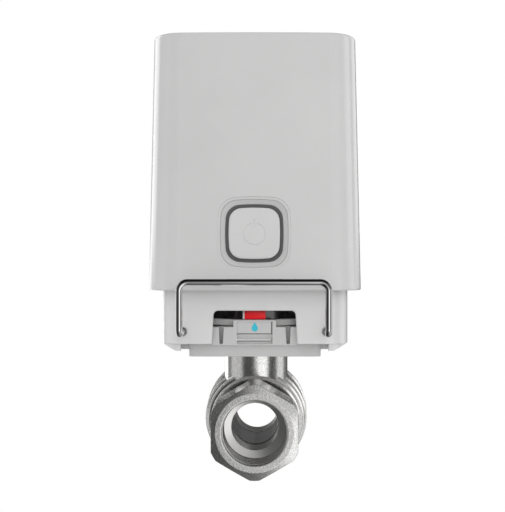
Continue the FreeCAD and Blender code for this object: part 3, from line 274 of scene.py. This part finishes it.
ALONG_Y, ALONG_Z = (1, 8, 1), (1, 1, 6)
MATERIALS = {
    "casing_white": (plastic, (0.800, 0.800, 0.797), dict(rough=0.28, depth=1.2 * UM, coat=1.0)),
    # Painted light: the same white plastic as the casing, painted brighter to make up for the shade under the
    # casing's overhang.
    "housing_white": (plastic, (0.920, 0.920, 0.917), dict(rough=0.28, depth=1.5 * UM, coat=1.0)),
    # Painted shade: the same white plastic, painted darker for the recessed plate's shade.
    "adapter_white": (plastic, (0.735, 0.735, 0.732), dict(rough=0.34)),
    # Painted shade: the nickel's crevices are painted darker.
    "nickel": (metal, (0.75, 0.746, 0.732), dict(rough=0.19, grain=420 * UM, depth=26 * UM, mottle=0.02,
                                                 speckle=0.22, crevice_shade=0.40, pipe=True)),
    "thread_nickel": (metal, (0.70, 0.696, 0.682), dict(rough=0.34, grain=400 * UM, depth=2 * UM, edge_r=0,
                                                        mottle=0.02)),
    # Painted reflection: the chrome wire's dark reflections are painted into its colour.
    "chrome_wire": (metal, 0.74, dict(rough=0.03, grain=800 * UM, depth=0.6 * UM, edge_r=0, painted_card_reflection=0.16)),
    "ball_chrome": (metal, 0.70, dict(rough=0.12, grain=800 * UM, depth=1 * UM, edge_r=0)),
    "ptfe": (metal, (0.34, 0.34, 0.335), dict(rough=0.30, grain=400 * UM, depth=2 * UM, streak=ALONG_Y,
                                              edge_r=0)),
    "coupler_grey": (plastic, (0.62, 0.62, 0.615), dict(rough=0.24, edge_r=150 * UM)),
    "steel": (metal, (0.58, 0.58, 0.57), dict(rough=0.30, grain=150 * UM, depth=2 * UM, streak=ALONG_Z)),
    "brass": (metal, (0.76, 0.58, 0.29), dict(rough=0.26, grain=200 * UM, depth=2 * UM, streak=ALONG_Z)),
    "rubber_black": (plastic, (0.022, 0.022, 0.022), dict(rough=0.62, depth=6 * UM, painted_edge=0)),
    # Painted highlight: the ring's outer edge is painted lighter.
    "rubber_grey": (plastic, (0.125, 0.125, 0.125), dict(rough=0.50, depth=4 * UM, painted_edge=0.5, rim=1.9)),
    "drum_black": (metal, 0.10, dict(rough=0.20, grain=600 * UM, depth=0.4 * UM, edge_r=0)),
    "mark_red": (plastic, (0.95, 0.010, 0.018), dict(rough=0.30, depth=1.5 * UM, edge_r=150 * UM)),
    "mark_white": (plastic, (0.75, 0.75, 0.73), dict(rough=0.22, edge_r=150 * UM)),
    "drop_blue": (plastic, (0.028, 0.435, 0.54), dict(rough=0.35, edge_r=0, painted_edge=0)),
    # Painted highlight: the button's rim is painted brighter.
    "button_white": (plastic, (0.82, 0.82, 0.817), dict(rough=0.28, depth=1.2 * UM, coat=0.6, painted_edge=0.9)),
    # Painted shade: the ring's edges are painted darker.
    "ring_frosted": (plastic, (0.70, 0.70, 0.697), dict(rough=0.40, painted_edge=0.9, rim=0.70)),
    "board_green": (plastic, (0.015, 0.13, 0.06), dict(rough=0.25, mottle=0.08)),
    "track_green": (plastic, (0.030, 0.22, 0.10), dict(rough=0.22, mottle=0.06)),
    "chip_black": (plastic, (0.022, 0.022, 0.025), dict(rough=0.45)),
    "led_white": (plastic, (0.85, 0.84, 0.70), dict(rough=0.30)),
    "cell_wrap": (plastic, (0.05, 0.07, 0.10), dict(rough=0.22)),
    "contact_nickel": (metal, (0.66, 0.65, 0.61), dict(grain=200 * UM, depth=2 * UM, streak=(1, 6, 1))),
    "gear_cream": (plastic, (0.76, 0.72, 0.60), dict(rough=0.38)),
    "frame_grey": (plastic, (0.10, 0.10, 0.105), dict(rough=0.42, depth=6 * UM)),
    "lead_red": (plastic, (0.45, 0.02, 0.02), dict(rough=0.38)),
}
library = {name: make(name, shade, **options) for name, (make, shade, options) in MATERIALS.items()}
for row in frame["record"]["subparts"]:
    mesh = NODES[row["node"]].data
    mesh.materials.clear()
    mesh.materials.append(library[row["material_slot"]])


def ring_faces(rows, sides):
    """Faces between rows of point numbers; a row of one point closes the surface."""
    faces = []
    for low, high in zip(rows, rows[1:]):
        for i in range(sides):
            j = (i + 1) % sides
            ring = [low[i % len(low)], low[j % len(low)], high[j % len(high)], high[i % len(high)]]
            faces.append(list(dict.fromkeys(ring)))
    return faces


class Maker:
    """Collects the faces of one piece. A call may pick one of the piece's materials by its index."""

    def __init__(self, *slots):
        """The piece's materials by name."""
        self.bm = bmesh.new()
        self.slots = slots

    def add(self, points, faces, slot=0, smooth=False):
        """Points are in millimetres in the row frame."""
        made = [self.bm.verts.new(Vector(p) * MM) for p in points]
        for corners in faces:
            face = self.bm.faces.new([made[i] for i in corners])
            face.material_index = slot
            face.smooth = smooth

    def block(self, low, high, slot=0):
        """A box between two opposite corners."""
        (x0, y0, z0), (x1, y1, z1) = low, high
        points = [(x, y, z) for z in (z0, z1) for x, y in ((x0, y0), (x1, y0), (x1, y1), (x0, y1))]
        self.add(points, [(3, 2, 1, 0), (4, 5, 6, 7), (0, 1, 5, 4), (1, 2, 6, 5), (2, 3, 7, 6), (3, 0, 4, 7)],
                 slot)

    def turned(self, profile, place, slot=0, sides=40):
        """Revolves (radius, height) points about a vertical axis. A radius of 0 becomes one point."""
        x0, y0, z0 = place
        points, rows = [], []
        for r, h in profile:
            count = sides if r > 0 else 1
            rows.append([len(points) + i for i in range(count)])
            for i in range(count):
                a = math.tau * i / sides
                points.append((x0 + r * math.cos(a), y0 + r * math.sin(a), z0 + h))
        self.add(points, ring_faces(rows, sides), slot, True)

    def dome(self, profile, place, out, sides=18):
        """Revolves (radius, height) points about an axis along y; out is 1 or -1, or less to flatten it."""
        x0, y0, z0 = place
        points, rows = [], []
        for r, h in profile:
            count = sides if r else 1
            rows.append([len(points) + i for i in range(count)])
            for i in range(count):
                a = math.tau * i / sides
                points.append((x0 + r * math.cos(a), y0 + out * h, z0 + r * math.sin(a)))
        self.add(points, ring_faces(rows, sides), 0, True)

    def ridge(self, profile, start_y, sign, pitch, turns, sides=72):
        """A helical ridge about the bore axis; profile is its (radius, offset along the axis) section."""
        fade_steps = 18                 # over which each end sinks into the wall
        points, faces, n = [], [], len(profile)
        steps = int(sides * turns)
        outer = max(r for r, _ in profile)
        for i in range(steps + 1):
            a = math.tau * i / sides
            fade = min(1.0, i / fade_steps, (steps - i) / fade_steps)
            for r, off in profile:
                radius = outer - (outer - r) * fade
                y = start_y + sign * (pitch * i / sides + off)
                points.append((radius * math.sin(a), y, radius * math.cos(a)))
            if i:
                base = (i - 1) * n
                for k in range(n):
                    after = (k + 1) % n
                    faces.append((base + k, base + after, base + n + after, base + n + k))
        faces += [tuple(range(n)), tuple(range(steps * n + n - 1, steps * n - 1, -1))]
        self.add(points, faces, 0, True)

    def finish(self, name, bevel=0.0):
        """Makes the piece's object, which rides on the fixed body; bevel rounds its edges, in millimetres."""
        bmesh.ops.recalc_face_normals(self.bm, faces=self.bm.faces)
        mesh = bpy.data.meshes.new(name)
        self.bm.to_mesh(mesh)
        self.bm.free()
        obj = bpy.data.objects.new(name, mesh)
        scene.collection.objects.link(obj)
        for slot in self.slots:
            mesh.materials.append(library[slot])
        if bevel:
            edges = obj.modifiers.new("edges", "BEVEL")
            edges.width = bevel * MM
            edges.segments = 2
        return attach(obj, "frame")


def extent(node):
    """A CAD node's box in millimetres."""
    low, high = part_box(node)
    return tuple(v / MM for v in low), tuple(v / MM for v in high)


def spread(low, high, count):
    """Count evenly spaced values from low to high."""
    return [low + (high - low) * i / (count - 1) for i in range(count)]


CELL_R = 8.5


def cell_pack():
    """Four sleeved cells: crimped can, shrink sleeve, insulating washer and raised positive cap."""
    (x0, y0, z0), (x1, y1, z1) = extent("batteries")
    top = z1 - z0
    can_foot = [(0, 0.25), (6.6, 0.25), (7.0, 0.0), (7.7, 0.0), (8.2, 0.35), (8.25, 0.7)]
    sleeve = [(7.6, 0.12), (8.1, 0.30), (8.44, 0.75), (CELL_R, 1.4), (CELL_R, top - 5.0),
              (8.42, top - 4.7), (8.1, top - 4.3), (8.1, top - 4.1), (8.42, top - 3.7),
              (CELL_R, top - 3.4), (CELL_R, top - 2.0), (8.38, top - 1.5), (8.0, top - 1.24),
              (7.1, top - 1.22)]
    washer = [(7.3, top - 1.26), (4.2, top - 1.26), (3.9, top - 1.32), (3.5, top - 1.4)]
    positive_cap = [(3.7, top - 1.42), (3.1, top - 1.3), (3.0, top - 0.3), (2.75, top - 0.03), (2.4, top),
                    (0, top)]
    maker = Maker("cell_wrap", "contact_nickel", "mark_white")
    for x in (x0 + CELL_R, x1 - CELL_R):
        for y in (y0 + CELL_R, y1 - CELL_R):
            place = (x, y, z0)
            maker.turned(can_foot, place, 1)
            maker.turned(sleeve, place, 0)
            maker.turned(washer, place, 2)
            maker.turned(positive_cap, place, 1)
    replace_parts(maker.finish("cell_pack"), "batteries")


def contact_welds():
    """Rows of small resistance welds on the nickel strips, four above each cell."""
    (x0, y0, _), (x1, y1, top) = extent("upper_contacts")
    inset_x, inset_y = 3.2, 4.1
    crater = [(0.62, -0.05), (0.55, 0.05), (0.38, 0.06), (0.3, -0.04), (0, -0.05)]
    maker = Maker("contact_nickel")
    for x in (x0 + inset_x, x1 - inset_x):
        for y in (y0 + inset_y, y1 - inset_y):
            for dx in (-1.1, 1.1):
                for dy in (-1.0, 1.0):
                    maker.turned(crater, (x + dx, y + dy, top), sides=14)
    maker.finish("contact_welds")


TRACK_W = 0.24
TRACK_T = 0.05


def track_run(maker, board_y, points):
    """One track through (x, z) points, as flat bars that overlap at the corners."""
    for leg, ((ax, az), (bx, bz)) in enumerate(zip(points, points[1:])):
        top_y = board_y - TRACK_T - 0.012 * (leg % 2)
        along = Vector((bx - ax, 0, bz - az)).normalized() * (TRACK_W / 2)
        side = Vector((-along.z, 0, along.x))
        start, end = Vector((ax, 0, az)) - along, Vector((bx, 0, bz)) + along
        corners = [start + side, end + side, end - side, start - side]
        levels = [(c.x, y, c.z) for y in (board_y + 0.01, top_y) for c in corners]
        maker.add(levels, [(4, 5, 6, 7), (0, 1, 5, 4), (1, 2, 6, 5), (2, 3, 7, 6), (3, 0, 4, 7)])


def board_tracks():
    """Etched tracks under the solder mask: three buses with 45 degree jogs on the board's front."""
    (x0, y0, z0), (_, _, z1) = extent("main_board")
    maker = Maker("track_green")
    for i in range(12):
        x, jog, turn_z = -13.0 + i * 0.75, 5.5, 84.0 - i * 0.31
        top = z1 - 6 - (i % 3) * 1.3
        track_run(maker, y0, [(x, 72.0 + i * 0.35), (x, turn_z), (x + jog, turn_z + jog), (x + jog, top)])
    for i in range(9):
        x, jog, turn_z = 5.0 + i * 0.8, 3.4, 79.0 - i * 0.33
        track_run(maker, y0, [(x, 70.0), (x, turn_z), (x + jog, turn_z + jog), (x + jog, z1 - 14)])
    for i in range(8):
        z, turn_x, jog = z0 + 2.2 + i * 0.62, -3.0 - i * 0.6, 1.4
        track_run(maker, y0, [(x0 + 2, z), (turn_x, z), (turn_x + jog, z + jog)])
    maker.finish("board_tracks")


CHIP_SIZES = ((1.6, 0.8, 0.45), (2.0, 1.25, 0.55), (1.0, 0.5, 0.35))      # length, width, height
EMPTY_SHARE = 0.42


def board_passives():
    """Chip resistors and capacitors with plated ends, on the board's front."""
    (x0, y0, _), (x1, _, z1) = extent("main_board")
    resistor, plating, capacitor = 0, 1, 2
    maker = Maker("chip_black", "contact_nickel", "gear_cream")
    for row, z in enumerate(spread(74.0, z1 - 6.0, 9)):
        for column, x in enumerate(spread(x0 + 3.0, x1 - 3.0, 8)):
            if random.random() < EMPTY_SHARE:
                continue
            x += random.uniform(-0.8, 0.8)
            z_mid = z + random.uniform(-0.7, 0.7)
            upright = random.random() < 0.5
            length, wide, tall = random.choice(CHIP_SIZES)
            body = capacitor if (row + column) % 3 == 0 else resistor
            half, cap = length / 2, length * 0.2
            spans = ((-half, -half + cap, plating, 0.03), (half - cap, half, plating, 0.03),
                     (-half + cap, half - cap, body, 0.0))
            for start, end, slot, lift in spans:
                across, along = (-wide / 2 - lift, wide / 2 + lift), (start, end)
                (x_low, x_high), (z_low, z_high) = (across, along) if upright else (along, across)
                maker.block((x + x_low, y0 - tall - lift, z_mid + z_low), (x + x_high, y0, z_mid + z_high),
                            slot)
    maker.finish("board_passives", bevel=0.05)


# The packages on the board's rear: middle x and z, half width, half height, legs on each side.
PACKAGES = ((8, 52, 4.0, 4.0, 8), (-8, 66, 3.0, 3.0, 6), (9, 67, 4.5, 2.5, 5))
# A gull-wing leg's three blocks: distances from the package's side and heights above the board.
LEG_BLOCKS = ((-0.02, 0.35, 0.45, 0.6), (0.35, 0.5, 0.05, 0.6), (0.5, 0.95, 0.0, 0.15))
LEG_HALF_W = 0.17


def chip_legs():
    """Gull-wing legs along both sides of the packages on the board's rear."""
    _, (_, board_y, _) = extent("main_board")
    maker = Maker("contact_nickel")
    for x_mid, z_mid, half_w, half_h, count in PACKAGES:
        for side in (-1, 1):
            x = x_mid + side * half_w
            for z in spread(z_mid - half_h + 0.6, z_mid + half_h - 0.6, count):
                for start, end, low, high in LEG_BLOCKS:
                    near, far = sorted((x + side * start, x + side * end))
                    maker.block((near, board_y + low, z - LEG_HALF_W), (far, board_y + high, z + LEG_HALF_W))
    maker.finish("chip_legs", bevel=0.03)


MOTOR_LEAD_Z = 62.0
ANTENNA_Z = 102.2
ANTENNA_FEET = (-11.0, -6.5)
TRIMMED = 0.25                 # height of a joint behind the button, against a full one


def solder_joints():
    """Joints for the motor leads and the antenna's feet. Those behind the button are trimmed low in front."""
    (_, y0, _), (_, y1, _) = extent("main_board")
    (lead_x0, _, _), (lead_x1, _, _) = extent("motor_leads")
    spots = [(x, MOTOR_LEAD_Z, TRIMMED) for x in (lead_x0 + 0.5, lead_x1 - 0.5)]
    spots += [(x, ANTENNA_Z, 1.0) for x in ANTENNA_FEET]
    joint = [(1.0, 0.0), (0.86, 0.22), (0.6, 0.46), (0.3, 0.72), (0.12, 0.86), (0, 0.9)]
    maker = Maker("contact_nickel")
    for x, z, front in spots:
        maker.dome(joint, (x, y0, z), -front)
        maker.dome(joint, (x, y1, z), 1)
    maker.finish("solder_joints")


THREAD_PITCH = 1.814
THREAD_TURNS = 4.0
THREAD_START_Y = 27.6
THREAD_WALL_R = 9.30


def thread_turns():
    """The turns of the pipe thread inside each end, standing in from the wall."""
    foot, crest = THREAD_WALL_R + 0.08, THREAD_WALL_R - 0.26
    section = [(foot, -0.62), (crest, -0.16), (crest, 0.16), (foot, 0.62)]
    for name, sign in (("inlet_thread_turns", 1), ("outlet_thread_turns", -1)):
        maker = Maker("thread_nickel")
        maker.ridge(section, -sign * THREAD_START_Y, sign, THREAD_PITCH, THREAD_TURNS)
        maker.finish(name)


def lead_curve(name, slot, points, radius):
    """An insulated lead as a smooth curve."""
    data = bpy.data.curves.new(name, "CURVE")
    data.dimensions = "3D"
    data.bevel_depth = radius * MM
    data.bevel_resolution = 4
    data.resolution_u = 10
    spline = data.splines.new("BEZIER")
    spline.bezier_points.add(len(points) - 1)
    for knot, place in zip(spline.bezier_points, points):
        knot.co = Vector(place) * MM
        knot.handle_left_type = knot.handle_right_type = "AUTO"
    data.use_fill_caps = True
    data.materials.append(library[slot])
    obj = bpy.data.objects.new(name, data)
    scene.collection.objects.link(obj)
    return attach(obj, "frame")


LEAD_R = 0.55
LEADS = (("battery_lead_positive", "lead_red", 14.0), ("battery_lead_negative", "chip_black", 16.4))


def battery_leads():
    """Two leads from the battery tray, dipping and rising again to the board's rear."""
    _, (_, board_y, _) = extent("main_board")
    for name, slot, x in LEADS:
        path = [(x, -15.0, 73.6), (x, -17.0, 73.4), (x - 0.5, -20.5, 71.5), (x - 1.0, -22.0, 74.5),
                (x - 1.0, -23.6, 77.0), (x - 1.0, board_y + 0.1, 77.4)]
        lead_curve(name, slot, path, LEAD_R)


def motor_terminals():
    """Tabs on the motor's end cap with the joints of its leads, and the cap's brass bush."""
    (x0, y0, _), (x1, y1, top) = extent("motor_end_cap")
    mid_x, mid_y = (x0 + x1) / 2, (y0 + y1) / 2
    joint = [(0.95, -0.02), (0.8, 0.25), (0.62, 0.5), (0.55, 0.9), (0, 1.0)]
    bush = [(1.5, -0.4), (1.5, 0.05), (1.3, 0.14), (0.9, 0.14), (0.85, -0.1), (0, -0.1)]
    maker = Maker("contact_nickel", "brass")
    for side in (-1, 1):
        near, far = sorted((mid_x + side * 3.4, mid_x + side * 4.9))
        maker.block((near, mid_y + 0.9, top - 0.82), (far, mid_y + 1.2, top + 0.7))
        maker.turned(joint, (mid_x + side * 4.4, mid_y, top - 0.8), sides=16)
    maker.turned(bush, (mid_x, mid_y, top), 1, sides=24)
    maker.finish("motor_terminals", bevel=0.04)


for build in (cell_pack, contact_welds, board_tracks, board_passives, chip_legs, solder_joints, thread_turns,
              battery_leads, motor_terminals):
    build()


# ---------------------------------------------------------------- studio
# What polished surfaces mirror, as (azimuth, brightness). Azimuth is in degrees, 0 on the camera's side and
# rising to the right. The upper list is for directions above the horizon, the lower one for those below it.
SKY_UPPER = [(-180, 0.08), (-166, 0.10), (-158, 0.45), (-146, 0.60), (-138, 2.2), (-107, 2.2), (-99, 0.30),
             (-85, 0.35), (-56, 0.40), (-46, 0.12), (-14, 0.12), (-3, 0.42), (9, 0.65), (40, 0.65),
             (52, 0.35), (70, 0.45), (76, 1.4), (97, 1.4), (101, 0.25), (111, 0.25), (119, 1.2), (143, 1.2),
             (150, 0.10)]
SKY_LOWER = [(-180, 0.08), (-168, 0.08), (-160, 1.6), (-128, 1.6), (-124, 0.20), (-106, 0.20), (-99, 0.62),
             (-56, 0.62), (-46, 0.08), (-14, 0.07), (-3, 0.42), (9, 1.25), (40, 1.25), (49, 0.08),
             (74, 0.08), (88, 0.85), (116, 0.85), (122, 0.30), (139, 0.16), (165, 0.08)]
SKY_TOP = 0.05
SKY_UNDER_LEFT = 0.14
SKY_UNDER_RIGHT = 0.50
SKY_GAIN = 2.5                          # the brightness that a full-white stop stands for
# Heights (a direction's z) between which one part of the sky turns into the next.
HORIZON_Z = (-0.02, 0.06)
TOP_Z = (0.55, 0.68)
UNDER_Z = (-0.72, -0.50)
# What matt surfaces receive: an even light, and what each direction adds to it.
ROOM_LIGHT = 0.735
ROOM_RIGHT = 0.105
ROOM_FRONT = 0.17
ROOM_TOP = 0.05
FLOOR_Z = -0.16
FLOOR_HALF = 8
WINDOW_FILL_W = 0.085
WINDOW_FILL_PLACE = (0.010, -0.16, 0.056)
WINDOW_FILL_DOWN = 0.15                 # radians
# The photo's camera. Names in PX are in pixels of the photo.
CAMERA_PLACE = (0.005, -0.279, 0.0487)
SENSOR_MM = 36.0
FRAME_PX = 512.0
FOCAL_PX = 880.0
SHIFT_X_PX, SHIFT_Y_PX = -19.5, 6.0


def sky_strip(g, turn, stops):
    return g.ramp(turn, [((a + 180) / 360, v / SKY_GAIN) for a, v in stops])


def mirrored_sky(g, x, y, z):
    """The sky's colour in the direction (x, y, z)."""
    azimuth = g.math("ARCTAN2", x, g.product(y, -1.0))
    turn = g.math("ADD", g.math("DIVIDE", azimuth, math.tau), 0.5)
    lower, upper = sky_strip(g, turn, SKY_LOWER), sky_strip(g, turn, SKY_UPPER)
    sides = g.blend(g.span(z, 0.0, 1.0, *HORIZON_Z), lower, upper)
    left, right = rgb(SKY_UNDER_LEFT / SKY_GAIN), rgb(SKY_UNDER_RIGHT / SKY_GAIN)
    under = g.blend(g.span(x, 0.0, 1.0, 0.0, 0.5), left, right)
    sides = g.blend(g.span(z, 1.0, 0.0, *UNDER_Z), sides, under)
    return g.blend(g.span(z, 0.0, 1.0, *TOP_Z), sides, rgb(SKY_TOP / SKY_GAIN))


def choose(g, ray, no, yes):
    """The shader yes for rays of that kind, otherwise the shader no."""
    made = g.node("ShaderNodeMixShader")
    g.put(made.inputs[0], g.node("ShaderNodeLightPath").outputs[ray])
    g.put(made.inputs[1], no.outputs[0])
    g.put(made.inputs[2], yes.outputs[0])
    return made


def background(g, colour, strength=1.0):
    made = g.node("ShaderNodeBackground")
    g.put(made.inputs["Color"], colour)
    g.put(made.inputs["Strength"], strength)
    return made


def build_world():
    """Plain white for the camera, the sky's strips for mirroring and an even room for diffuse light."""
    world = bpy.data.worlds.new("studio")
    scene.world = world
    world.use_nodes = True
    world.cycles.sampling_method = "NONE"
    g = Graph(world.node_tree)
    x, y, z = g.split(g.node("ShaderNodeTexCoord").outputs["Generated"])
    room = g.math("ADD", g.product(z, ROOM_TOP), g.product(x, ROOM_RIGHT))
    room = g.math("ADD", room, g.product(y, -ROOM_FRONT))
    room = g.math("ADD", room, ROOM_LIGHT)
    mirrored = background(g, mirrored_sky(g, x, y, z), SKY_GAIN)
    unseen = choose(g, "Is Diffuse Ray", mirrored, background(g, rgb(1.0), room))
    shown = choose(g, "Is Camera Ray", unseen, background(g, rgb(1.0)))
    out = g.tree.nodes.get("World Output") or g.node("ShaderNodeOutputWorld")
    g.put(out.inputs["Surface"], shown.outputs[0])


def build_floor():
    """A wide pale floor that the camera sees as plain white and that mirrors don't show."""
    mesh = bpy.data.meshes.new("floor")
    corners = ((-1, -1), (1, -1), (1, 1), (-1, 1))
    points = [(x * FLOOR_HALF, y * FLOOR_HALF, FLOOR_Z) for x, y in corners]
    mesh.from_pydata(points, [], [(0, 1, 2, 3)])
    floor = bpy.data.objects.new("floor", mesh)
    scene.collection.objects.link(floor)
    g = Surface("floor_pale")
    g.set(Base_Color=g.blend(g.noise(0.05), rgb(0.80), rgb(0.84)), Roughness=0.8)
    shown = choose(g, "Is Camera Ray", g.bsdf, g.node("ShaderNodeEmission"))
    g.put(g.tree.nodes["Material Output"].inputs["Surface"], shown.outputs[0])
    mesh.materials.append(g.mat)
    floor.visible_glossy = False


def light_window():
    """A small soft light that reaches only the indicator behind the housing's window."""
    lit = bpy.data.collections.new("window_group")
    for node in ("open_mark", "mark_border", "closed_mark", "stem_coupler", "drop_mark"):
        lit.objects.link(NODES[node])
    data = bpy.data.lights.new("window_fill", "AREA")
    data.shape = "RECTANGLE"
    data.size, data.size_y = 0.05, 0.02
    data.energy = WINDOW_FILL_W
    fill = bpy.data.objects.new("window_fill", data)
    scene.collection.objects.link(fill)
    fill.location = WINDOW_FILL_PLACE
    fill.rotation_euler = (math.pi / 2 - WINDOW_FILL_DOWN, 0, 0)
    fill.visible_glossy = False
    fill.light_linking.receiver_collection = lit


def build_camera():
    """The photo's camera, level and facing along +y, with its lens shifted to the photo's crop."""
    data = bpy.data.cameras.new("camera")
    camera = bpy.data.objects.new("camera", data)
    scene.collection.objects.link(camera)
    camera.location = CAMERA_PLACE
    camera.rotation_euler = (math.pi / 2, 0, 0)
    data.sensor_width = SENSOR_MM
    data.lens = FOCAL_PX * SENSOR_MM / FRAME_PX
    data.shift_x = SHIFT_X_PX / FRAME_PX
    data.shift_y = SHIFT_Y_PX / FRAME_PX
    data.clip_start = 0.01
    data.clip_end = 50.0
    scene.camera = camera


build_world()
build_floor()
light_window()
build_camera()
scene.view_settings.view_transform = "Standard"
scene.view_settings.look = "None"
